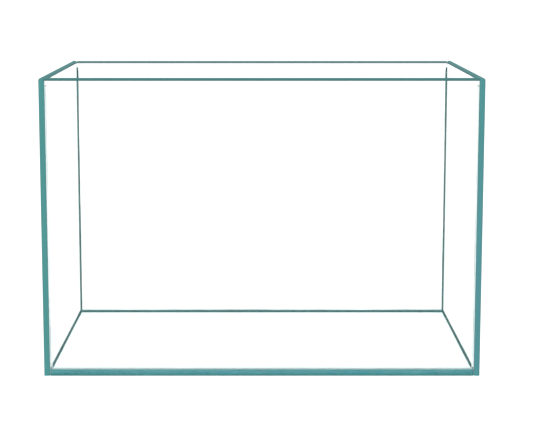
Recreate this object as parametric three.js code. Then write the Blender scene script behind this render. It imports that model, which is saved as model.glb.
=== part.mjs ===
// Rimless all-glass aquarium: five float-glass panes bonded edge to face with silicone.
// Millimetres, +Z up. X runs along the front, +Y points to the back.
// The origin is the middle of the footprint, on the surface that the tank stands on.
//
// The side panes run the full depth. The front and back panes fit between them, and the
// bottom pane lies inside all four walls, so each of its edges bears on a wall's inner face.

import * as THREE from 'three';

// Outside of the tank
const LENGTH = 600;
const DEPTH = 400;
const HEIGHT = 410;

// Glass
const WALL = 8;
const BASE = 8;
const ARRIS = 1; // corner taken off every ground edge, at 45 degrees
const RIM_RADIUS = 3.5; // rounding of both corners of a polished top edge
const RIM_STEPS = 6; // straight steps round each of those corners

// Structural silicone, the film that holds one pane's edge to another's face
const FILM = 0.5;
const FILM_BELOW_RIM = 4;

// Sealing silicone, the hollow bead tooled into each inside corner
const BEAD_LEG = 3; // how far the bead reaches along each of its two panes
const BEAD_HOLLOW = 0.5; // where its curve is pulled to, from the corner, along each pane
const BEAD_STEPS = 8; // even, so that the middle point of the curve lies on the mitre
const BEAD_BELOW_RIM = 10;

// Worked out from the above
const SIDE_X = (LENGTH - WALL) / 2; // middle of a side pane's thickness
const FRONT_Y = (DEPTH - WALL) / 2; // middle of the back pane's thickness, and minus the front's
const INNER_X = LENGTH / 2 - WALL; // inner face of a side pane
const INNER_Y = DEPTH / 2 - WALL; // inner face of the front or back pane
const PANE_LENGTH = 2 * (INNER_X - FILM); // front, back and bottom panes, between the films
const BASE_DEPTH = 2 * (INNER_Y - FILM);

const QUARTER = Math.PI / 2;

const glass = () => new THREE.MeshStandardMaterial({ color: 0x9ccfcb, roughness: 0.05, metalness: 0 });
const bondSilicone = () => new THREE.MeshStandardMaterial({ color: 0x8fb0ae, roughness: 0.4, metalness: 0 });
const beadSilicone = () => new THREE.MeshStandardMaterial({ color: 0x4b6f72, roughness: 0.35, metalness: 0 });

const tank = new THREE.Group();

function addPart(name, geometry, material, position = [0, 0, 0]) {
  const mesh = new THREE.Mesh(geometry, material);
  mesh.name = name;
  mesh.position.set(...position);
  tank.add(mesh);
}

// Turns what was drawn in XY and extruded along Z so that it runs along X, with its Y up.
function layAlongX(geometry) {
  return geometry.rotateX(QUARTER).rotateZ(QUARTER);
}

// Section of a wall pane: its thickness across, its height up, arrises below and a
// rounded, polished rim with a narrow flat land above.
function wallSection() {
  const half = WALL / 2;
  const rimZ = HEIGHT - RIM_RADIUS;
  const section = new THREE.Shape();
  section.moveTo(-half + ARRIS, 0);
  section.lineTo(half - ARRIS, 0);
  section.lineTo(half, ARRIS);
  section.lineTo(half, rimZ);
  section.absarc(half - RIM_RADIUS, rimZ, RIM_RADIUS, 0, QUARTER);
  section.absarc(-half + RIM_RADIUS, rimZ, RIM_RADIUS, QUARTER, Math.PI);
  section.lineTo(-half, ARRIS);
  section.closePath();
  return section;
}

// Extrudes a section over a length that counts the arris at each end, centred on zero.
function withArrisedEnds(section, length) {
  const geometry = new THREE.ExtrudeGeometry(section, {
    depth: length - 2 * ARRIS,
    bevelThickness: ARRIS,
    bevelSize: ARRIS,
    bevelOffset: -ARRIS,
    bevelSegments: 1,
    curveSegments: RIM_STEPS,
  });
  return geometry.translate(0, 0, ARRIS - length / 2);
}

function bottomPane() {
  const outline = new THREE.Shape();
  outline.moveTo(-PANE_LENGTH / 2, -BASE_DEPTH / 2);
  outline.lineTo(PANE_LENGTH / 2, -BASE_DEPTH / 2);
  outline.lineTo(PANE_LENGTH / 2, BASE_DEPTH / 2);
  outline.lineTo(-PANE_LENGTH / 2, BASE_DEPTH / 2);
  outline.closePath();
  return withArrisedEnds(outline, BASE);
}

function frontOrBackPane() {
  return layAlongX(withArrisedEnds(wallSection(), PANE_LENGTH));
}

function sidePane() {
  return withArrisedEnds(wallSection(), DEPTH).rotateX(QUARTER);
}

// Film in an upright corner: it covers the flat of the front or back pane's end edge.
function cornerFilm() {
  const height = HEIGHT - FILM_BELOW_RIM - ARRIS;
  const geometry = new THREE.BoxGeometry(FILM, WALL - 2 * ARRIS, height);
  return geometry.translate(0, 0, ARRIS + height / 2);
}

// Film along an edge of the bottom pane: it covers the flat of that edge.
function baseFilm(alongX, alongY) {
  const geometry = new THREE.BoxGeometry(alongX, alongY, BASE - 2 * ARRIS);
  return geometry.translate(0, 0, BASE / 2);
}

// Bead that fills the corner between the planes X = 0 and Y = 0, from Z = 0 to its length.
// A mitred end is drawn in by as much as each point stands off the farther plane, which
// leaves the two facets that its neighbours in a three-way corner share with it.
function cornerBead(length, mitreTop) {
  const section = new THREE.Shape();
  section.moveTo(0, 0);
  section.lineTo(BEAD_LEG, 0);
  section.quadraticCurveTo(BEAD_HOLLOW, BEAD_HOLLOW, 0, BEAD_LEG);
  section.closePath();
  const settings = { depth: length, bevelEnabled: false, curveSegments: BEAD_STEPS };
  const geometry = new THREE.ExtrudeGeometry(section, settings);
  const points = geometry.getAttribute('position');
  for (let i = 0; i < points.count; i += 1) {
    const standOff = Math.max(points.getX(i), points.getY(i));
    const z = points.getZ(i);
    if (z === 0) {
      points.setZ(i, standOff);
    } else if (mitreTop) {
      points.setZ(i, z - standOff);
    }
  }
  return geometry;
}

// Bead along the bottom of the wall that lies on the -Y side, before it is turned.
function baseBead(length) {
  return layAlongX(cornerBead(length, true)).translate(-length / 2, 0, 0);
}

addPart('bottom_pane', bottomPane(), glass(), [0, 0, BASE / 2]);
addPart('front_pane', frontOrBackPane(), glass(), [0, -FRONT_Y, 0]);
addPart('back_pane', frontOrBackPane(), glass(), [0, FRONT_Y, 0]);
addPart('left_pane', sidePane(), glass(), [-SIDE_X, 0, 0]);
addPart('right_pane', sidePane(), glass(), [SIDE_X, 0, 0]);

// The side films run on past the ends of the front and back films and close the corners.
const baseFilmX = INNER_X - FILM / 2;
const baseFilmY = INNER_Y - FILM / 2;
addPart('base_bond_front', baseFilm(PANE_LENGTH, FILM), bondSilicone(), [0, -baseFilmY, 0]);
addPart('base_bond_back', baseFilm(PANE_LENGTH, FILM), bondSilicone(), [0, baseFilmY, 0]);
addPart('base_bond_left', baseFilm(FILM, 2 * INNER_Y), bondSilicone(), [-baseFilmX, 0, 0]);
addPart('base_bond_right', baseFilm(FILM, 2 * INNER_Y), bondSilicone(), [baseFilmX, 0, 0]);

const baseBeads = [
  { name: 'base_bead_front', length: 2 * INNER_X, turn: 0, place: [0, -INNER_Y, BASE] },
  { name: 'base_bead_right', length: 2 * INNER_Y, turn: 1, place: [INNER_X, 0, BASE] },
  { name: 'base_bead_back', length: 2 * INNER_X, turn: 2, place: [0, INNER_Y, BASE] },
  { name: 'base_bead_left', length: 2 * INNER_Y, turn: 3, place: [-INNER_X, 0, BASE] },
];
for (const { name, length, turn, place } of baseBeads) {
  addPart(name, baseBead(length).rotateZ(turn * QUARTER), beadSilicone(), place);
}

const corners = [
  { name: 'front_left', x: -1, y: -1, turn: 0 },
  { name: 'front_right', x: 1, y: -1, turn: 1 },
  { name: 'back_right', x: 1, y: 1, turn: 2 },
  { name: 'back_left', x: -1, y: 1, turn: 3 },
];
for (const { name, x, y, turn } of corners) {
  const filmPlace = [x * (INNER_X - FILM / 2), y * FRONT_Y, 0];
  addPart(`corner_bond_${name}`, cornerFilm(), bondSilicone(), filmPlace);
  const bead = cornerBead(HEIGHT - BASE - BEAD_BELOW_RIM, false).rotateZ(turn * QUARTER);
  addPart(`corner_bead_${name}`, bead, beadSilicone(), [x * INNER_X, y * INNER_Y, BASE]);
}

export default tank;
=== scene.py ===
"""Rimless glass aquarium: float-glass panes with ground and polished edges, silicone bonds and
sealing beads, on a white studio floor."""
import math

import bpy
import numpy as np
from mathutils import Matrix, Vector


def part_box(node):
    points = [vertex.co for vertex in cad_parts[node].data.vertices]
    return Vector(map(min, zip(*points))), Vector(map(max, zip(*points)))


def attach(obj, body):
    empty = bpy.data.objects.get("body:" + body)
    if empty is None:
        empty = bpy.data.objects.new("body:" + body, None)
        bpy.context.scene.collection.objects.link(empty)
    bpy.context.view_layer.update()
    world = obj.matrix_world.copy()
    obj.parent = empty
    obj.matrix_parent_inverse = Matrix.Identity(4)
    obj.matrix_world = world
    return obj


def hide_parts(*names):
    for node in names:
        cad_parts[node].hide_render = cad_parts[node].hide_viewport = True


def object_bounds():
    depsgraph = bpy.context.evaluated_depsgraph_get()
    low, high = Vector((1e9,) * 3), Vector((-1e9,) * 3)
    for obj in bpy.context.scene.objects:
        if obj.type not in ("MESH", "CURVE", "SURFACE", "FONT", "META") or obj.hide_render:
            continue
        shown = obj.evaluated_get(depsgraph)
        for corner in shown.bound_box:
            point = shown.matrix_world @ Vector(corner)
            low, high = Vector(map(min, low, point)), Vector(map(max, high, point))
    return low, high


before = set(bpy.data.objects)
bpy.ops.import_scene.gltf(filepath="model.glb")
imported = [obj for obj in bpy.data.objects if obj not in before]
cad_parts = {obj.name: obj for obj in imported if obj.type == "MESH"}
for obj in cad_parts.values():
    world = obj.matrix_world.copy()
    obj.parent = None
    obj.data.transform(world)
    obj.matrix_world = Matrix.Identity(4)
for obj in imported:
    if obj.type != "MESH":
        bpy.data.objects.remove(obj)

CAD_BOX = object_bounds()

MM = 0.001
X, Y, Z = 0, 1, 2

# Glass edges. ARRIS and RIM_RADIUS are the part's own.
ARRIS = 1.0 * MM  # rounding of a ground corner
END_ARRIS = 0.8 * MM  # the same round the ends of a pane, a little finer so that no corner closes up
RIM_RADIUS = 3.5 * MM  # rounding of both corners of a polished top edge
ARC_STEPS = 10
GROUND_MARGIN = 0.4 * MM  # how far the grinding runs out on the face beside a rounding
END_STEPS = 4

# Silicone
AIR = 0.03 * MM  # hairline between touching pieces, so that no two surfaces coincide
BEAD_LIP = 0.12 * MM  # thickness of a bead where it runs out on the glass
BEAD_HOLLOW = 0.5 * MM  # where the bead's curve is pulled to, from the corner
BEAD_STEPS = 10
BEAD_SHRINK = 0.94  # cured width of a bead, as a share of the width it was gunned to
TOP_TAPER = 0.6  # width of an upright bead where it fades out below the rim, as a share
SWELLS = ((0.05, 55.0 * MM), (0.03, 19.0 * MM), (0.02, 7.5 * MM))  # share of width, wave length
END_REACH = 2.0  # how far from its end a bead is mitred or tapers, in legs
BOND_HOLLOW = 0.2 * MM  # how far a bond's free edges sink between the two panes
BOND_WANDER = 4.0  # how much more than a bead's width that depth swells
BOND_STEPS = 6
PITCH = 5.0 * MM  # distance between the sections along a bead or a bond

# Studio
FLOOR_GAP = 0.5 * MM  # the floor lies this far below the tank
FLOOR_REACH = 60.0  # from the middle to each side
WORLD_LIGHT = 1.25
SENSOR = 36.0  # width in millimetres
LENS = 107.22  # focal length in millimetres
CAMERA_BACK = 2.21  # from the front pane
CAMERA_UP = 0.562  # above what the tank stands on
CAMERA_PITCH = 8.93  # degrees that it looks down
SIDE_SHIFT = 0.0264  # of the lens, as a share of the picture's width


# ---------------------------------------------------------------- mesh making


def make_piece(name, points, faces, slots, flat, materials, corner_uv):
    """Puts arrays into a mesh: points (n, 3), faces as a list of index tuples, for each face its
    material slot and whether it is shaded flat, and a UV for each corner of each face in turn."""
    mesh = bpy.data.meshes.new(name)
    mesh.from_pydata(points.tolist(), [], faces)
    for material in materials:
        mesh.materials.append(material)
    mesh.polygons.foreach_set("material_index", np.asarray(slots, np.int32))
    mesh.polygons.foreach_set("use_smooth", ~np.asarray(flat, bool))
    layer = mesh.uv_layers.new(name="surface")
    layer.data.foreach_set("uv", np.asarray(corner_uv, np.float32).ravel())
    mesh.update()
    piece = bpy.data.objects.new(name, mesh)
    bpy.context.collection.objects.link(piece)
    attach(piece, "root")
    return piece


def skin_faces(stations, around):
    """Quads between neighbouring sections of a closed loop carried along a path, then a cap on
    the first section and on the last. Returns the faces, and each quad's station and place."""
    station, place = np.meshgrid(np.arange(stations - 1), np.arange(around), indexing="ij")
    station, place = station.ravel(), place.ravel()
    here = station * around + place
    after = station * around + (place + 1) % around
    quads = np.stack([here, after, after + around, here + around], axis=1)
    first = tuple(range(around - 1, -1, -1))
    last = tuple(range((stations - 1) * around, stations * around))
    return [tuple(q) for q in quads.tolist()] + [first, last], station, place


def placed(across, up, along, axes, origin):
    """Turns section and path coordinates into frame coordinates. axes says which frame axis
    each of across, up and along runs on and in which sense."""
    points = np.tile(np.asarray(origin, float), (across.size, 1))
    for values, (axis, sense) in zip((across, up, along), axes):
        points[:, axis] += sense * values.ravel()
    return points


def looking_out(faces, axes):
    """Reverses the faces when the three axes make a left-handed set, so they look outwards."""
    order = [axis for axis, _ in axes]
    turn = np.prod([sense for _, sense in axes])
    if order not in ([X, Y, Z], [Y, Z, X], [Z, X, Y]):
        turn = -turn
    return faces if turn > 0 else [tuple(reversed(face)) for face in faces]


def swelling(along, seed):
    """How much wider than usual silicone is at each place along it, as a share: three sine
    waves of falling length, whose starts come from the seed."""
    starts = np.random.default_rng(seed).uniform(0, 2 * math.pi, len(SWELLS))
    waves = [depth * np.sin(along / wave + start) for (depth, wave), start in zip(SWELLS, starts)]
    return sum(waves)


# ---------------------------------------------------------------- panes


def pane_section(half, low, high, low_radius, high_radius, inset):
    """Closed outline of a pane's section, one row for each inset: a rectangle 2 * half thick
    from low to high, whose four corners are quarter circles, each with one point more where its
    ground margin ends on the face. An inset draws every side in by that much and takes it off
    the corner radii, so the circles keep their centres."""
    quarter = np.linspace(0, math.pi / 2, ARC_STEPS + 1)
    corners = [
        (-1, low + low_radius, low_radius, math.pi, (1, 0), GROUND_MARGIN),
        (1, low + low_radius, low_radius, 1.5 * math.pi, (0, 1), GROUND_MARGIN),
        (1, high - high_radius, high_radius, 0.0, (1, 0), -GROUND_MARGIN),
        (-1, high - high_radius, high_radius, 0.5 * math.pi, (0, 1), -GROUND_MARGIN),
    ]
    across, up = [], []
    for side, level, radius, begin, more, margin in corners:
        reach = radius - inset[:, None]
        arc = reach * np.cos(begin + quarter)
        rise = reach * np.sin(begin + quarter)
        across.append(side * (half - radius) + np.pad(arc, ((0, 0), more), "edge"))
        up.append(level + np.pad(rise, ((0, 0), more), constant_values=margin))
    return np.concatenate(across, axis=1), np.concatenate(up, axis=1)


def glass_pane(node, axes, top_radius, materials):
    """A pane of float glass: its section carried straight along the pane, drawn in at both ends
    by a quarter circle. Its slots are the two faces, the edge along the top, the edge along the
    foot, the two ends, and the rounding between an end and the rest. The UV runs in metres
    along an edge, and from -1 to 1 over it."""
    lo, hi = (np.array(corner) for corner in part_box(node))
    thick, level, run = (axis for axis, _ in axes)
    half = (hi[thick] - lo[thick]) / 2
    origin = np.zeros(3)
    origin[thick] = (hi[thick] + lo[thick]) / 2
    origin[run] = (hi[run] + lo[run]) / 2
    reach = (hi[run] - lo[run]) / 2

    turn = np.linspace(0, math.pi / 2, END_STEPS + 1)
    end_along = -reach + END_ARRIS * (1 - np.cos(turn))
    end_inset = END_ARRIS * (1 - np.sin(turn))
    along = np.concatenate([end_along, -end_along[::-1]])
    inset = np.concatenate([end_inset, end_inset[::-1]])
    across, up = pane_section(half, lo[level], hi[level], ARRIS, top_radius, inset)
    stations, around = across.shape
    along = np.repeat(along[:, None], around, axis=1)

    faces, station, place = skin_faces(stations, around)
    corner = ARC_STEPS + 2
    straight = place % corner == corner - 1  # the quad that joins one corner to the next
    main = station == stations // 2 - 1
    face = straight & (place // corner % 2 == 1) & main
    top = (place >= 2 * corner) & (place < 4 * corner - 1)
    edge = np.where(top, 1, np.where(main, 2, 4))
    slots = np.where(face, 0, edge).tolist() + [3, 3]
    flat = (straight & main).tolist() + [True, True]

    over = across.ravel() / half
    lengthways = np.stack([along.ravel(), over], axis=1)
    upright = np.stack([up.ravel(), over], axis=1)
    quads = np.array(faces[:-2])
    end_uv = [upright[list(face)] for face in faces[-2:]]
    quad_uv = np.where(main[:, None, None], lengthways[quads], upright[quads])
    if looking_out([(0, 1)], axes) != [(0, 1)]:
        quad_uv = quad_uv[:, ::-1]
        end_uv = [uv[::-1] for uv in end_uv]

    piece = make_piece(
        node.replace("_pane", "_glass"),
        placed(across, up, along, axes, origin),
        looking_out(faces, axes),
        slots,
        flat,
        materials,
        np.concatenate([quad_uv.reshape(-1, 2), *end_uv]),
    )
    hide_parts(node)


# ---------------------------------------------------------------- silicone


def silicone_piece(node, called, section, along, axes, origin, curved, on_glass, materials):
    """A section carried along a path, as one closed piece of silicone that stands for a CAD
    node. The UV is metres along it and metres round its section. curved and on_glass mark the
    places of the section that are free and rounded, and those bonded to a pane, which take the
    second material."""
    old, new = called
    first, second = section
    stations, around = first.shape
    faces, _, place = skin_faces(stations, around)
    steps = np.hypot(np.diff(first, axis=1), np.diff(second, axis=1))
    girth = np.concatenate([np.zeros((stations, 1)), steps.cumsum(axis=1)], axis=1)
    point_uv = np.stack([along.ravel(), girth.ravel()], axis=1)
    faces = looking_out(faces, axes)
    piece = make_piece(
        node.replace(old, new),
        placed(first, second, along, axes, origin),
        faces,
        on_glass[place].astype(int).tolist() + [0, 0],
        (~curved[place]).tolist() + [True, True],
        materials,
        point_uv[np.concatenate([np.array(face) for face in faces])],
    )
    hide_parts(node)


def bead_section(leg):
    """Closed outline of a sealing bead for each leg length: from the corner out along one pane,
    up its thin lip, back in a hollow curve (a parabola pulled towards the corner) to the lip on
    the other pane, and down to the corner."""
    t = np.linspace(0, 1, BEAD_STEPS + 1)
    leg = leg[:, None]
    far = (1 - t) ** 2 * leg + 2 * (1 - t) * t * BEAD_HOLLOW + t**2 * BEAD_LIP
    air = np.full_like(leg, AIR)
    first = np.concatenate([air, leg, far, air], axis=1)
    second = np.concatenate([air, air, far[:, ::-1], leg], axis=1)
    return first, second


def sealing_bead(node, materials, seed):
    """A tooled bead in an inside corner: its section carried along the corner, its width
    swelling by a few hundredths as a finger leaves it. A base bead's ends are mitred: each
    point is drawn in by its stand-off from the farther pane. An upright bead's top tapers."""
    lo, hi = (np.array(corner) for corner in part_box(node))
    centre = (lo + hi) / 2
    run = int(np.argmax(hi - lo))
    axes, origin = [], lo.copy()
    for axis in (axis for axis in (X, Y, Z) if axis != run):
        from_low = axis == Z or centre[axis] < 0
        origin[axis] = lo[axis] if from_low else hi[axis]
        axes.append((axis, 1 if from_low else -1))
    leg = (hi - lo)[axes[0][0]]
    length = (hi - lo)[run]
    axes.append((run, 1))

    along = np.linspace(0, length, int(length / PITCH) + 1)
    shaped = END_REACH * leg
    width = leg * (BEAD_SHRINK + swelling(along, seed))
    if run == Z:
        width *= np.clip((length - along) / shaped, TOP_TAPER, 1) ** 0.5
    first, second = bead_section(width)
    place = np.repeat(along[:, None], first.shape[1], axis=1)
    stand_off = np.maximum(first, second)
    near_start = np.clip(1 - place / shaped, 0, 1)
    near_end = np.clip(1 - (length - place) / shaped, 0, 1)
    place = place + stand_off * near_start
    if run != Z:
        place = place - stand_off * near_end

    spot = np.arange(first.shape[1])
    curved = (spot > 1) & (spot < 2 + BEAD_STEPS)
    on_glass = (spot < 1) | (spot > 2 + BEAD_STEPS)
    called = ("bead", "seal")
    silicone_piece(
        node, called, (first, second), place, axes, origin, curved, on_glass, materials
    )


def bond_section(half, low, high, hollow):
    """Closed outline of a bond for each depth of hollow: a thin rectangle 2 * half thick from
    low to high, whose two free edges sink between the panes in a parabola."""
    t = np.linspace(-1, 1, BOND_STEPS + 1)
    sink = hollow[:, None] * (1 - t**2)
    across = np.concatenate([t, -t])[None, :] * half + 0 * hollow[:, None]
    up = np.concatenate([low + sink, high - sink], axis=1)
    return across, up


def bond_film(node, materials, seed):
    """The silicone squeezed out between two panes: a thin strip along the joint, its free edges
    hollow and wandering a little where it was trimmed."""
    lo, hi = (np.array(corner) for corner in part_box(node))
    thin, wide, run = (int(axis) for axis in np.argsort(hi - lo))
    axes = [(thin, 1), (wide, 1), (run, 1)]
    origin = (lo + hi) / 2
    half, rise, reach = (hi - lo)[[thin, wide, run]] / 2 - AIR
    along = np.linspace(-reach, reach, int(2 * reach / PITCH) + 1)
    hollow = BOND_HOLLOW * (1 + BOND_WANDER * swelling(along, seed))
    section = bond_section(half, -rise, rise, hollow)
    place = np.repeat(along[:, None], section[0].shape[1], axis=1)
    on_glass = np.arange(section[0].shape[1]) % (BOND_STEPS + 1) == BOND_STEPS
    called = ("bond", "film")
    silicone_piece(
        node, called, section, place, axes, origin, ~on_glass, on_glass, materials
    )


# ---------------------------------------------------------------- materials


def float_glass_face():
    """Both faces of every pane: clear float glass, with the ream of the ribbon it was cut from
    and a cloth's smears in its gloss. Light on its way to other pieces passes straight on."""
    material = bpy.data.materials.new("clear float glass face")
    material.use_nodes = True
    nodes, links = material.node_tree.nodes, material.node_tree.links
    nodes.clear()

    place = nodes.new("ShaderNodeTexCoord")
    place.label = "place on the tank"
    place.location = (-1500, 0)
    ribbon = nodes.new("ShaderNodeMapping")
    ribbon.label = "stretched the way the ribbon ran"
    ribbon.location = (-1300, -300)
    ream = nodes.new("ShaderNodeTexNoise")
    ream.label = "ream, bands some centimetres apart"
    ream.location = (-1100, -300)
    lie = nodes.new("ShaderNodeBump")
    lie.label = "microns out of flat"
    lie.location = (-900, -300)
    cloth = nodes.new("ShaderNodeTexNoise")
    cloth.label = "smears of a polishing cloth"
    cloth.location = (-1100, 0)
    smear = nodes.new("ShaderNodeMapRange")
    smear.label = "smears dull the gloss"
    smear.location = (-900, 0)
    slant = nodes.new("ShaderNodeLayerWeight")
    slant.label = "how aslant it is looked through"
    slant.location = (-1100, 500)
    tint = nodes.new("ShaderNodeMix")
    tint.label = "iron tint, deeper aslant"
    tint.location = (-700, 500)
    mirror = nodes.new("ShaderNodeFresnel")
    mirror.label = "how much glass mirrors"
    mirror.location = (-1100, 250)
    bloomed = nodes.new("ShaderNodeMapRange")
    bloomed.label = "kept low, as under a lamp tent"
    bloomed.location = (-900, 250)
    trapped = nodes.new("ShaderNodeMath")
    trapped.label = "light that can't get out"
    trapped.location = (-900, 420)
    share = nodes.new("ShaderNodeMath")
    share.label = "share mirrored"
    share.location = (-700, 250)
    body = nodes.new("ShaderNodeBsdfRefraction")
    body.label = "seen through the glass"
    body.location = (-450, 350)
    gloss = nodes.new("ShaderNodeBsdfAnisotropic")
    gloss.label = "gloss of the face"
    gloss.location = (-450, 50)
    pane = nodes.new("ShaderNodeMixShader")
    pane.label = "glass face"
    pane.location = (-200, 250)
    rays = nodes.new("ShaderNodeLightPath")
    rays.label = "what kind of ray"
    rays.location = (-700, 900)
    lighting = nodes.new("ShaderNodeMath")
    lighting.label = "light on its way to a piece"
    lighting.location = (-450, 800)
    straight = nodes.new("ShaderNodeBsdfTransparent")
    straight.label = "light goes straight on"
    straight.location = (-200, 50)
    either = nodes.new("ShaderNodeMixShader")
    either.label = "seen, or lighting others"
    either.location = (50, 300)
    out = nodes.new("ShaderNodeOutputMaterial")
    out.label = "pane surface"
    out.location = (300, 300)
    flatness = nodes.new("NodeFrame")
    flatness.label = "flatness and smears"
    colour = nodes.new("NodeFrame")
    colour.label = "tint"
    shine = nodes.new("NodeFrame")
    shine.label = "mirroring"
    passage = nodes.new("NodeFrame")
    passage.label = "light through the pane"
    for node in (ribbon, ream, lie, cloth, smear):
        node.parent = flatness
    for node in (slant, tint):
        node.parent = colour
    for node in (mirror, bloomed, trapped, share):
        node.parent = shine
    for node in (rays, lighting, straight, either):
        node.parent = passage

    ribbon.inputs["Scale"].default_value = (0.6, 1.0, 1.0)
    ream.inputs["Scale"].default_value = 22.0
    ream.inputs["Detail"].default_value = 2.0
    lie.inputs["Strength"].default_value = 0.3
    lie.inputs["Distance"].default_value = 0.00002
    cloth.inputs["Scale"].default_value = 14.0
    cloth.inputs["Detail"].default_value = 5.0
    cloth.inputs["Distortion"].default_value = 1.5
    smear.inputs["From Min"].default_value = 0.4
    smear.inputs["From Max"].default_value = 0.75
    smear.inputs["To Min"].default_value = 0.01
    smear.inputs["To Max"].default_value = 0.12
    slant.inputs["Blend"].default_value = 0.35
    tint.data_type = "RGBA"
    tint.inputs[6].default_value = (0.994, 0.999, 0.998, 1)
    tint.inputs[7].default_value = (0.975, 0.997, 0.994, 1)
    mirror.inputs["IOR"].default_value = 1.5
    bloomed.inputs["From Min"].default_value = 0.04
    bloomed.inputs["From Max"].default_value = 1.0
    bloomed.inputs["To Min"].default_value = 0.022
    bloomed.inputs["To Max"].default_value = 0.1
    trapped.operation = "GREATER_THAN"
    trapped.inputs[1].default_value = 0.995
    share.operation = "MAXIMUM"
    body.inputs["IOR"].default_value = 1.5
    body.inputs["Roughness"].default_value = 0.0
    gloss.distribution = "GGX"
    lighting.operation = "MAXIMUM"
    straight.inputs["Color"].default_value = (0.985, 0.998, 0.995, 1)

    links.new(place.outputs["Object"], ribbon.inputs["Vector"])
    links.new(ribbon.outputs["Vector"], ream.inputs["Vector"])
    links.new(ream.outputs[0], lie.inputs["Height"])
    links.new(place.outputs["Object"], cloth.inputs["Vector"])
    links.new(cloth.outputs[0], smear.inputs["Value"])
    links.new(slant.outputs["Facing"], tint.inputs[0])
    links.new(mirror.outputs[0], bloomed.inputs["Value"])
    links.new(mirror.outputs[0], trapped.inputs[0])
    links.new(bloomed.outputs[0], share.inputs[0])
    links.new(trapped.outputs[0], share.inputs[1])
    links.new(tint.outputs[2], body.inputs["Color"])
    links.new(lie.outputs["Normal"], body.inputs["Normal"])
    links.new(smear.outputs[0], gloss.inputs["Roughness"])
    links.new(lie.outputs["Normal"], gloss.inputs["Normal"])
    links.new(share.outputs[0], pane.inputs[0])
    links.new(body.outputs[0], pane.inputs[1])
    links.new(gloss.outputs[0], pane.inputs[2])
    links.new(rays.outputs["Is Shadow Ray"], lighting.inputs[0])
    links.new(rays.outputs["Is Diffuse Ray"], lighting.inputs[1])
    links.new(lighting.outputs[0], either.inputs[0])
    links.new(pane.outputs[0], either.inputs[1])
    links.new(straight.outputs[0], either.inputs[2])
    links.new(either.outputs[0], out.inputs["Surface"])
    return material


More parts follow.
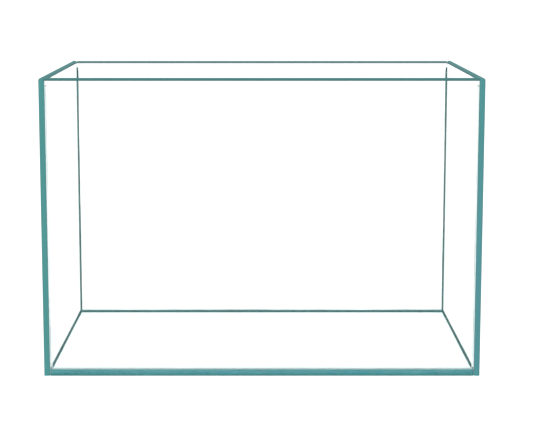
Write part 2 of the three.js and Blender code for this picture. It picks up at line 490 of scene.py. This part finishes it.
def cut_edge(name, colour, drift_colour, painted_inside_shading, polish, gloss_most, mirrored=0.0):
    """A cut edge of float glass, which glows with the iron tint gathered along the pane. The
    tint drifts slowly and streaks along the edge, painted shade draws darker lines along the
    arrises, the wheel leaves fine scratches along it, and polish, from 0 to 1, says how far they
    are taken out. Looked at from inside the pane, its colour is the inside colour, a painted
    shading: darker, a painted shade, on most edges, and paler, a painted light, on the end edge
    wetted by silicone. gloss_most is the most that it mirrors, and mirrored how much of the
    light that meets it too aslant to leave the pane it sends back. Light on its way to other
    pieces passes straight on."""
    material = bpy.data.materials.new(name)
    material.use_nodes = True
    nodes, links = material.node_tree.nodes, material.node_tree.links
    nodes.clear()

    place = nodes.new("ShaderNodeTexCoord")
    place.label = "place on the tank"
    place.location = (-1900, 500)
    drift = nodes.new("ShaderNodeTexNoise")
    drift.label = "slow drift along a pane"
    drift.location = (-1700, 500)
    spread = nodes.new("ShaderNodeMapRange")
    spread.label = "drift, evened out"
    spread.location = (-1500, 500)
    glow = nodes.new("ShaderNodeMix")
    glow.label = "iron tint, green to blue"
    glow.location = (-1250, 500)
    surface = nodes.new("ShaderNodeUVMap")
    surface.label = "along the edge and over it"
    surface.location = (-2100, 0)
    combed = nodes.new("ShaderNodeMapping")
    combed.label = "drawn out along the edge"
    combed.location = (-1900, 150)
    streaks = nodes.new("ShaderNodeTexNoise")
    streaks.label = "streaks of light in the glass"
    streaks.location = (-1700, 150)
    depth = nodes.new("ShaderNodeMapRange")
    depth.label = "streaks, lighter and darker"
    depth.location = (-1500, 150)
    streaked = nodes.new("ShaderNodeMix")
    streaked.label = "streaked tint"
    streaked.location = (-1000, 400)
    split = nodes.new("ShaderNodeSeparateXYZ")
    split.label = "over the edge"
    split.location = (-1900, -150)
    middle = nodes.new("ShaderNodeMath")
    middle.label = "out from its middle"
    middle.location = (-1700, -150)
    arris = nodes.new("ShaderNodeMapRange")
    arris.label = "the two arrises"
    arris.location = (-1500, -150)
    # painted shade: the colour is drawn darker toward both arrises, standing in for the shade a
    # rounded arris shows
    arris_painted_shade = nodes.new("ShaderNodeMix")
    arris_painted_shade.label = "painted shade along the arrises"
    arris_painted_shade.location = (-700, 300)
    nicks = nodes.new("ShaderNodeTexVoronoi")
    nicks.label = "grains the wheel pulled out"
    nicks.location = (-1700, -450)
    nicked = nodes.new("ShaderNodeMapRange")
    nicked.label = "only the largest"
    nicked.location = (-1500, -450)
    at_arris = nodes.new("ShaderNodeMath")
    at_arris.label = "nicks sit on the arris"
    at_arris.location = (-1250, -350)
    flecked = nodes.new("ShaderNodeMix")
    flecked.label = "pale flecks"
    flecked.location = (-450, 250)
    wheel = nodes.new("ShaderNodeMapping")
    wheel.label = "the way the wheel ran"
    wheel.location = (-1900, -750)
    scratches = nodes.new("ShaderNodeTexNoise")
    scratches.label = "wheel scratches"
    scratches.location = (-1700, -750)
    dull = nodes.new("ShaderNodeMapRange")
    dull.label = "scratches dull the polish"
    dull.location = (-1250, -650)
    relief = nodes.new("ShaderNodeBump")
    relief.label = "scratches, microns deep"
    relief.location = (-1250, -900)
    side = nodes.new("ShaderNodeNewGeometry")
    side.label = "seen from inside the pane"
    side.location = (-450, 500)
    # painted shading: seen from inside the pane the edge takes the inside colour, a painted shade
    # or, on the wetted end edge, a painted light
    seen = nodes.new("ShaderNodeMix")
    seen.label = "painted shading from inside the pane"
    seen.location = (-300, 350)
    mirror = nodes.new("ShaderNodeFresnel")
    mirror.label = "how much glass mirrors"
    mirror.location = (-700, -100)
    bloomed = nodes.new("ShaderNodeMapRange")
    bloomed.label = "kept low, as under a lamp tent"
    bloomed.location = (-450, -100)
    trapped = nodes.new("ShaderNodeMath")
    trapped.label = "light that can't get out"
    trapped.location = (-450, -350)
    returned = nodes.new("ShaderNodeMath")
    returned.label = "share sent back"
    returned.location = (-250, -350)
    share = nodes.new("ShaderNodeMath")
    share.label = "share mirrored"
    share.location = (-50, -350)
    body = nodes.new("ShaderNodeBsdfPrincipled")
    body.label = "light gathered in the pane"
    body.location = (-150, 200)
    gloss = nodes.new("ShaderNodeBsdfAnisotropic")
    gloss.label = "gloss of the cut"
    gloss.location = (-150, -200)
    cut = nodes.new("ShaderNodeMixShader")
    cut.label = "cut edge"
    cut.location = (200, 100)
    rays = nodes.new("ShaderNodeLightPath")
    rays.label = "what kind of ray"
    rays.location = (-150, 800)
    lighting = nodes.new("ShaderNodeMath")
    lighting.label = "light on its way to a piece"
    lighting.location = (200, 600)
    straight = nodes.new("ShaderNodeBsdfTransparent")
    straight.label = "light goes straight on"
    straight.location = (200, -100)
    either = nodes.new("ShaderNodeMixShader")
    either.label = "seen, or lighting others"
    either.location = (450, 200)
    out = nodes.new("ShaderNodeOutputMaterial")
    out.label = "edge surface"
    out.location = (700, 200)
    tints = nodes.new("NodeFrame")
    tints.label = "tint of the glass"
    arrises = nodes.new("NodeFrame")
    arrises.label = "arrises and nicks"
    finish = nodes.new("NodeFrame")
    finish.label = "grinding and polish"
    passage = nodes.new("NodeFrame")
    passage.label = "light through the edge"
    for node in (drift, spread, glow, combed, streaks, depth, streaked, side, seen):
        node.parent = tints
    for node in (split, middle, arris, arris_painted_shade, nicks, nicked, at_arris, flecked):
        node.parent = arrises
    mirroring = (mirror, bloomed, trapped, returned, share, gloss)
    for node in (wheel, scratches, dull, relief, *mirroring):
        node.parent = finish
    for node in (rays, lighting, straight, either):
        node.parent = passage

    surface.uv_map = "surface"
    drift.inputs["Scale"].default_value = 2.2
    drift.inputs["Detail"].default_value = 1.0
    spread.inputs["From Min"].default_value = 0.35
    spread.inputs["From Max"].default_value = 0.65
    glow.data_type = "RGBA"
    glow.inputs[6].default_value = (*colour, 1)
    glow.inputs[7].default_value = (*drift_colour, 1)
    combed.inputs["Scale"].default_value = (7.0, 1.2, 1.0)
    streaks.inputs["Scale"].default_value = 1.0
    streaks.inputs["Detail"].default_value = 4.0
    depth.inputs["From Min"].default_value = 0.3
    depth.inputs["From Max"].default_value = 0.7
    depth.inputs["To Min"].default_value = 0.94
    depth.inputs["To Max"].default_value = 1.05
    streaked.data_type = "RGBA"
    streaked.blend_type = "MULTIPLY"
    streaked.inputs[0].default_value = 1.0
    middle.operation = "ABSOLUTE"
    arris.inputs["From Min"].default_value = 0.78
    arris.inputs["From Max"].default_value = 0.95
    arris.inputs["To Min"].default_value = 0.0
    arris.inputs["To Max"].default_value = 0.55
    # dark colour of the painted shade along the arrises
    arris_painted_shade.data_type = "RGBA"
    arris_painted_shade.inputs[7].default_value = (0.045, 0.1, 0.11, 1)
    nicks.inputs["Scale"].default_value = 900.0
    nicked.inputs["From Min"].default_value = 0.22
    nicked.inputs["From Max"].default_value = 0.1
    nicked.inputs["To Min"].default_value = 0.0
    nicked.inputs["To Max"].default_value = 0.8
    at_arris.operation = "MULTIPLY"
    flecked.data_type = "RGBA"
    flecked.inputs[7].default_value = (0.42, 0.56, 0.56, 1)
    # the inside colour: painted shading of the edge seen from inside the pane
    seen.data_type = "RGBA"
    seen.inputs[7].default_value = (*painted_inside_shading, 1)
    wheel.inputs["Scale"].default_value = (60.0, 26.0, 1.0)
    scratches.inputs["Scale"].default_value = 1.0
    scratches.inputs["Detail"].default_value = 6.0
    scratches.inputs["Roughness"].default_value = 0.65
    dull.inputs["From Min"].default_value = 0.3
    dull.inputs["From Max"].default_value = 0.75
    dull.inputs["To Min"].default_value = 0.3 - 0.28 * polish
    dull.inputs["To Max"].default_value = 0.65 - 0.5 * polish
    relief.inputs["Strength"].default_value = 0.5 - 0.45 * polish
    relief.inputs["Distance"].default_value = 0.0001
    mirror.inputs["IOR"].default_value = 1.5
    bloomed.inputs["From Min"].default_value = 0.04
    bloomed.inputs["To Min"].default_value = gloss_most / 6
    bloomed.inputs["To Max"].default_value = gloss_most
    trapped.operation = "GREATER_THAN"
    trapped.inputs[1].default_value = 0.995
    returned.operation = "MULTIPLY"
    returned.inputs[1].default_value = mirrored
    share.operation = "MAXIMUM"
    body.inputs["Specular IOR Level"].default_value = 0.0
    body.inputs["IOR"].default_value = 1.5
    gloss.distribution = "GGX"
    lighting.operation = "MAXIMUM"
    straight.inputs["Color"].default_value = (0.75, 0.93, 0.92, 1)

    links.new(place.outputs["Object"], drift.inputs["Vector"])
    links.new(drift.outputs[0], spread.inputs["Value"])
    links.new(spread.outputs[0], glow.inputs[0])
    links.new(surface.outputs["UV"], combed.inputs["Vector"])
    links.new(combed.outputs["Vector"], streaks.inputs["Vector"])
    links.new(streaks.outputs[0], depth.inputs["Value"])
    links.new(glow.outputs[2], streaked.inputs[6])
    links.new(depth.outputs[0], streaked.inputs[7])
    links.new(surface.outputs["UV"], split.inputs[0])
    links.new(split.outputs["Y"], middle.inputs[0])
    links.new(middle.outputs[0], arris.inputs["Value"])
    links.new(arris.outputs[0], arris_painted_shade.inputs[0])
    links.new(streaked.outputs[2], arris_painted_shade.inputs[6])
    links.new(place.outputs["Object"], nicks.inputs["Vector"])
    links.new(nicks.outputs["Distance"], nicked.inputs["Value"])
    links.new(nicked.outputs[0], at_arris.inputs[0])
    links.new(arris.outputs[0], at_arris.inputs[1])
    links.new(at_arris.outputs[0], flecked.inputs[0])
    links.new(arris_painted_shade.outputs[2], flecked.inputs[6])
    links.new(surface.outputs["UV"], wheel.inputs["Vector"])
    links.new(wheel.outputs["Vector"], scratches.inputs["Vector"])
    links.new(scratches.outputs[0], dull.inputs["Value"])
    links.new(scratches.outputs[0], relief.inputs["Height"])
    links.new(side.outputs["Backfacing"], seen.inputs[0])
    links.new(flecked.outputs[2], seen.inputs[6])
    links.new(seen.outputs[2], body.inputs["Base Color"])
    links.new(dull.outputs[0], body.inputs["Roughness"])
    links.new(relief.outputs["Normal"], body.inputs["Normal"])
    links.new(dull.outputs[0], gloss.inputs["Roughness"])
    links.new(relief.outputs["Normal"], gloss.inputs["Normal"])
    links.new(mirror.outputs[0], bloomed.inputs["Value"])
    links.new(mirror.outputs[0], trapped.inputs[0])
    links.new(trapped.outputs[0], returned.inputs[0])
    links.new(bloomed.outputs[0], share.inputs[0])
    links.new(returned.outputs[0], share.inputs[1])
    links.new(share.outputs[0], cut.inputs[0])
    links.new(body.outputs[0], cut.inputs[1])
    links.new(gloss.outputs[0], cut.inputs[2])
    links.new(rays.outputs["Is Shadow Ray"], lighting.inputs[0])
    links.new(rays.outputs["Is Diffuse Ray"], lighting.inputs[1])
    links.new(lighting.outputs[0], either.inputs[0])
    links.new(cut.outputs[0], either.inputs[1])
    links.new(straight.outputs[0], either.inputs[2])
    links.new(either.outputs[0], out.inputs["Surface"])
    return material


def clear_silicone(name, tint, outer_painted_shade, milk_colour, lost):
    """Cured clear silicone: it bends what is behind it, is a little milky in drifts, holds
    small bubbles, and has the satin skin a finger leaves. What is seen through it is tinted by
    the given tint, and where it is looked into from outside it is darkened instead by the outer
    colour, a painted shade. lost is how much of the light that meets the surface too aslant to
    leave is replaced by a painted dull grey green shade, standing in for light that goes off
    into the glass it is bonded to. Light on its way to other pieces passes straight on."""
    material = bpy.data.materials.new(name)
    material.use_nodes = True
    nodes, links = material.node_tree.nodes, material.node_tree.links
    nodes.clear()

    place = nodes.new("ShaderNodeTexCoord")
    place.label = "place on the tank"
    place.location = (-1500, 300)
    milk = nodes.new("ShaderNodeTexNoise")
    milk.label = "milky drifts"
    milk.location = (-1250, 450)
    cloudy = nodes.new("ShaderNodeMapRange")
    cloudy.label = "how milky"
    cloudy.location = (-1000, 450)
    surface = nodes.new("ShaderNodeUVMap")
    surface.label = "along the joint and round it"
    surface.location = (-1500, -200)
    pulled = nodes.new("ShaderNodeMapping")
    pulled.label = "pulled along the joint"
    pulled.location = (-1300, -200)
    skin = nodes.new("ShaderNodeTexNoise")
    skin.label = "ripples of the tooling finger"
    skin.location = (-1100, -200)
    satin = nodes.new("ShaderNodeMapRange")
    satin.label = "satin, glossier in places"
    satin.location = (-850, 0)
    bubbles = nodes.new("ShaderNodeTexVoronoi")
    bubbles.label = "small bubbles"
    bubbles.location = (-1100, -500)
    rounded = nodes.new("ShaderNodeMapRange")
    rounded.label = "bubbles, round and scattered"
    rounded.location = (-850, -500)
    bumpy = nodes.new("ShaderNodeMath")
    bumpy.label = "ripples and bubbles"
    bumpy.location = (-650, -350)
    relief = nodes.new("ShaderNodeBump")
    relief.label = "relief of the skin"
    relief.location = (-450, -350)
    side = nodes.new("ShaderNodeNewGeometry")
    side.label = "seen from inside the silicone"
    side.location = (-850, 250)
    # painted shade: seen from outside, what shows through the silicone is darkened by the outer
    # colour; from inside only the tint applies
    depth = nodes.new("ShaderNodeMix")
    depth.label = "painted shade seen from outside"
    depth.location = (-650, 200)
    body = nodes.new("ShaderNodeBsdfRefraction")
    body.label = "seen through the silicone"
    body.location = (-450, 200)
    gloss = nodes.new("ShaderNodeBsdfAnisotropic")
    gloss.label = "gloss of the silicone"
    gloss.location = (-450, 0)
    clear = nodes.new("ShaderNodeMixShader")
    clear.label = "clear silicone"
    clear.location = (-200, 200)
    haze = nodes.new("ShaderNodeBsdfTranslucent")
    haze.label = "light caught in the milk"
    haze.location = (-200, -50)
    mixed = nodes.new("ShaderNodeMixShader")
    mixed.label = "clear and milky"
    mixed.location = (50, 200)
    aslant = nodes.new("ShaderNodeFresnel")
    aslant.label = "how aslant light meets it"
    aslant.location = (-700, 650)
    bloomed = nodes.new("ShaderNodeMapRange")
    bloomed.label = "kept low, as under a lamp tent"
    bloomed.location = (-700, 400)
    trapped = nodes.new("ShaderNodeMath")
    trapped.label = "too aslant to leave"
    trapped.location = (-450, 650)
    share = nodes.new("ShaderNodeMath")
    share.label = "share mirrored"
    share.location = (-450, 420)
    leaked = nodes.new("ShaderNodeMath")
    leaked.label = "share lost in the glass"
    leaked.location = (-200, 500)
    # painted shade: where light meets the skin too aslant to leave, a dull grey green diffuse stands
    # in for the light lost into the glass
    lost_light_shade = nodes.new("ShaderNodeBsdfDiffuse")
    lost_light_shade.label = "painted grey green shade"
    lost_light_shade.location = (50, -50)
    seam = nodes.new("ShaderNodeMixShader")
    seam.label = "silicone and painted shade"
    seam.location = (300, 200)
    rays = nodes.new("ShaderNodeLightPath")
    rays.label = "what kind of ray"
    rays.location = (50, 850)
    lighting = nodes.new("ShaderNodeMath")
    lighting.label = "light on its way to a piece"
    lighting.location = (300, 650)
    straight = nodes.new("ShaderNodeBsdfTransparent")
    straight.label = "light goes straight on"
    straight.location = (300, -50)
    either = nodes.new("ShaderNodeMixShader")
    either.label = "seen, or lighting others"
    either.location = (550, 250)
    out = nodes.new("ShaderNodeOutputMaterial")
    out.label = "silicone surface"
    out.location = (800, 250)
    cloud_frame = nodes.new("NodeFrame")
    cloud_frame.label = "milkiness"
    skin_frame = nodes.new("NodeFrame")
    skin_frame.label = "tooled skin and bubbles"
    passage = nodes.new("NodeFrame")
    passage.label = "light through the silicone"
    leak = nodes.new("NodeFrame")
    leak.label = "light lost into the panes"
    for node in (aslant, bloomed, trapped, share, leaked, lost_light_shade, seam):
        node.parent = leak
    for node in (milk, cloudy, haze, mixed):
        node.parent = cloud_frame
    for node in (pulled, skin, satin, bubbles, rounded, bumpy, relief):
        node.parent = skin_frame
    for node in (side, depth, rays, lighting, straight, either):
        node.parent = passage

    milk.inputs["Scale"].default_value = 35.0
    milk.inputs["Detail"].default_value = 3.0
    cloudy.inputs["From Min"].default_value = 0.35
    cloudy.inputs["From Max"].default_value = 0.7
    cloudy.inputs["To Min"].default_value = 0.016
    cloudy.inputs["To Max"].default_value = 0.04
    surface.uv_map = "surface"
    pulled.inputs["Scale"].default_value = (120.0, 900.0, 1.0)
    skin.inputs["Scale"].default_value = 1.0
    skin.inputs["Detail"].default_value = 3.0
    satin.inputs["To Min"].default_value = 0.03
    satin.inputs["To Max"].default_value = 0.14
    bubbles.inputs["Scale"].default_value = 420.0
    rounded.inputs["From Min"].default_value = 0.18
    rounded.inputs["From Max"].default_value = 0.05
    rounded.inputs["To Min"].default_value = 0.0
    rounded.inputs["To Max"].default_value = 1.0
    bumpy.operation = "ADD"
    relief.inputs["Strength"].default_value = 0.35
    relief.inputs["Distance"].default_value = 0.00008
    depth.data_type = "RGBA"
    depth.inputs[6].default_value = (*outer_painted_shade, 1)
    depth.inputs[7].default_value = (*tint, 1)
    body.inputs["IOR"].default_value = 1.41
    haze.inputs["Color"].default_value = (*milk_colour, 1)
    aslant.inputs["IOR"].default_value = 1.41
    bloomed.inputs["From Min"].default_value = 0.03
    bloomed.inputs["From Max"].default_value = 1.0
    bloomed.inputs["To Min"].default_value = 0.02
    bloomed.inputs["To Max"].default_value = 0.1
    share.operation = "MAXIMUM"
    gloss.distribution = "GGX"
    trapped.operation = "GREATER_THAN"
    trapped.inputs[1].default_value = 0.995
    leaked.operation = "MULTIPLY"
    leaked.inputs[1].default_value = lost
    lost_light_shade.inputs["Color"].default_value = (0.42, 0.5, 0.51, 1)
    lighting.operation = "MAXIMUM"
    straight.inputs["Color"].default_value = (*(channel**0.25 for channel in tint), 1)

    links.new(place.outputs["Object"], milk.inputs["Vector"])
    links.new(milk.outputs[0], cloudy.inputs["Value"])
    links.new(surface.outputs["UV"], pulled.inputs["Vector"])
    links.new(pulled.outputs["Vector"], skin.inputs["Vector"])
    links.new(skin.outputs[0], satin.inputs["Value"])
    links.new(place.outputs["Object"], bubbles.inputs["Vector"])
    links.new(bubbles.outputs["Distance"], rounded.inputs["Value"])
    links.new(skin.outputs[0], bumpy.inputs[0])
    links.new(rounded.outputs[0], bumpy.inputs[1])
    links.new(bumpy.outputs[0], relief.inputs["Height"])
    links.new(side.outputs["Backfacing"], depth.inputs[0])
    links.new(depth.outputs[2], body.inputs["Color"])
    links.new(satin.outputs[0], body.inputs["Roughness"])
    links.new(relief.outputs["Normal"], body.inputs["Normal"])
    links.new(satin.outputs[0], gloss.inputs["Roughness"])
    links.new(relief.outputs["Normal"], gloss.inputs["Normal"])
    links.new(aslant.outputs[0], bloomed.inputs["Value"])
    links.new(bloomed.outputs[0], share.inputs[0])
    links.new(trapped.outputs[0], share.inputs[1])
    links.new(share.outputs[0], clear.inputs[0])
    links.new(body.outputs[0], clear.inputs[1])
    links.new(gloss.outputs[0], clear.inputs[2])
    links.new(cloudy.outputs[0], mixed.inputs[0])
    links.new(clear.outputs[0], mixed.inputs[1])
    links.new(haze.outputs[0], mixed.inputs[2])
    links.new(aslant.outputs[0], trapped.inputs[0])
    links.new(trapped.outputs[0], leaked.inputs[0])
    links.new(leaked.outputs[0], seam.inputs[0])
    links.new(mixed.outputs[0], seam.inputs[1])
    links.new(lost_light_shade.outputs[0], seam.inputs[2])
    links.new(rays.outputs["Is Shadow Ray"], lighting.inputs[0])
    links.new(rays.outputs["Is Diffuse Ray"], lighting.inputs[1])
    links.new(lighting.outputs[0], either.inputs[0])
    links.new(seam.outputs[0], either.inputs[1])
    links.new(straight.outputs[0], either.inputs[2])
    links.new(either.outputs[0], out.inputs["Surface"])
    return material


def studio_white():
    """The matt white table the tank stands on. It glows a little, so that it stays white."""
    material = bpy.data.materials.new("white floor")
    material.use_nodes = True
    nodes, links = material.node_tree.nodes, material.node_tree.links
    nodes.clear()

    body = nodes.new("ShaderNodeBsdfPrincipled")
    body.label = "matt white table"
    body.location = (0, 0)
    out = nodes.new("ShaderNodeOutputMaterial")
    out.label = "floor surface"
    out.location = (300, 0)

    body.inputs["Base Color"].default_value = (0.88, 0.88, 0.88, 1)
    body.inputs["Roughness"].default_value = 1.0
    body.inputs["Specular IOR Level"].default_value = 0.0
    body.inputs["Emission Color"].default_value = (1, 1, 1, 1)
    body.inputs["Emission Strength"].default_value = 0.15

    links.new(body.outputs[0], out.inputs["Surface"])
    return material


# ---------------------------------------------------------------- building

ALONG_X = ((Y, 1), (Z, 1), (X, 1))
ALONG_Y = ((X, 1), (Z, 1), (Y, -1))
FLAT = ((Z, 1), (X, 1), (Y, 1))

face = float_glass_face()
# Each edge's third colour is its painted shading seen from inside the pane: darker, a painted shade,
# on the rims, the ends and the base; the same on the foot; paler, a painted light, on the end edge
# wetted by silicone.
rim = cut_edge(
    "polished top edge", (0.06, 0.2, 0.195), (0.07, 0.2, 0.205), (0.04, 0.15, 0.15), 1.0, 0.08
)
# painted light: the same polished top edge as on the other panes, painted paler at the back
back_rim_painted_light = cut_edge(
    "top edge at the back, painted paler",
    (0.16, 0.26, 0.255), (0.17, 0.26, 0.265), (0.12, 0.21, 0.21), 1.0, 0.08,
)
end = cut_edge(
    "ground end edge", (0.055, 0.24, 0.23), (0.065, 0.23, 0.25), (0.015, 0.075, 0.075), 0.7, 0.1
)
bonded = cut_edge(
    "end edge wetted by silicone",
    (0.055, 0.24, 0.23), (0.065, 0.23, 0.25), (0.5, 0.7, 0.7), 1.0, 0.02, mirrored=1.0,
)
foot = cut_edge(
    "ground foot edge", (0.05, 0.2, 0.2), (0.06, 0.2, 0.21), (0.05, 0.2, 0.2), 0.3, 0.08
)
base = cut_edge(
    "ground base edge", (0.008, 0.235, 0.25), (0.014, 0.23, 0.265), (0.01, 0.075, 0.08), 0.4, 0.03
)
glass_pane("front_pane", ALONG_X, RIM_RADIUS, [face, rim, foot, bonded, face])
glass_pane("back_pane", ALONG_X, RIM_RADIUS, [face, back_rim_painted_light, foot, bonded, face])
glass_pane("left_pane", ALONG_Y, RIM_RADIUS, [face, rim, foot, end, end])
glass_pane("right_pane", ALONG_Y, RIM_RADIUS, [face, rim, foot, end, end])
glass_pane("bottom_pane", FLAT, ARRIS, [face, base, base, base, base])

CLEAR = (0.97, 0.99, 0.99)
# painted shade on silicone seen from outside: deep on the sealing beads, faint on the bond films
SEAL_PAINTED_SHADE = (0.065, 0.2, 0.2)
SEAL_MILK = (0.15, 0.35, 0.35)
FILM_PAINTED_SHADE = (0.8, 0.9, 0.9)
FILM_MILK = (0.6, 0.7, 0.7)
# the last argument is how much of the light too aslant to leave is replaced by painted grey green
# shade
seal_skin = clear_silicone("sealing silicone skin", CLEAR, SEAL_PAINTED_SHADE, SEAL_MILK, 0.0)
seal_back = clear_silicone("sealing silicone on glass", CLEAR, CLEAR, SEAL_MILK, 1.0)
film_skin = clear_silicone("bond silicone skin", CLEAR, FILM_PAINTED_SHADE, FILM_MILK, 0.0)
film_back = clear_silicone("bond silicone on glass", CLEAR, CLEAR, FILM_MILK, 0.2)
for number, node in enumerate(sorted(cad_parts)):
    if "bead" in node:
        sealing_bead(node, [seal_skin, seal_back], number)
    if "bond" in node:
        bond_film(node, [film_skin, film_back], number)

# ---------------------------------------------------------------- studio

floor_mesh = bpy.data.meshes.new("studio_floor")
corners = np.array([(-1, -1), (1, -1), (1, 1), (-1, 1)]) * FLOOR_REACH
corners = np.column_stack([corners, np.full(4, -FLOOR_GAP)])
floor_mesh.from_pydata(corners.tolist(), [], [(0, 1, 2, 3)])
floor_mesh.materials.append(studio_white())
floor = bpy.data.objects.new("studio_floor", floor_mesh)
bpy.context.collection.objects.link(floor)

world = bpy.data.worlds.new("soft white studio")
world.use_nodes = True
world.node_tree.nodes["Background"].inputs["Color"].default_value = (1, 1, 1, 1)
world.node_tree.nodes["Background"].inputs["Strength"].default_value = WORLD_LIGHT
bpy.context.scene.world = world
bpy.context.scene.view_settings.view_transform = "Standard"

camera_data = bpy.data.cameras.new("camera")
camera = bpy.data.objects.new("camera", camera_data)
bpy.context.collection.objects.link(camera)
camera_data.sensor_width = SENSOR
camera_data.lens = LENS
camera_data.shift_x = SIDE_SHIFT
camera.location = (0, CAD_BOX[0][Y] - CAMERA_BACK, CAMERA_UP)
camera.rotation_euler = (math.radians(90 - CAMERA_PITCH), 0, 0)
bpy.context.scene.camera = camera
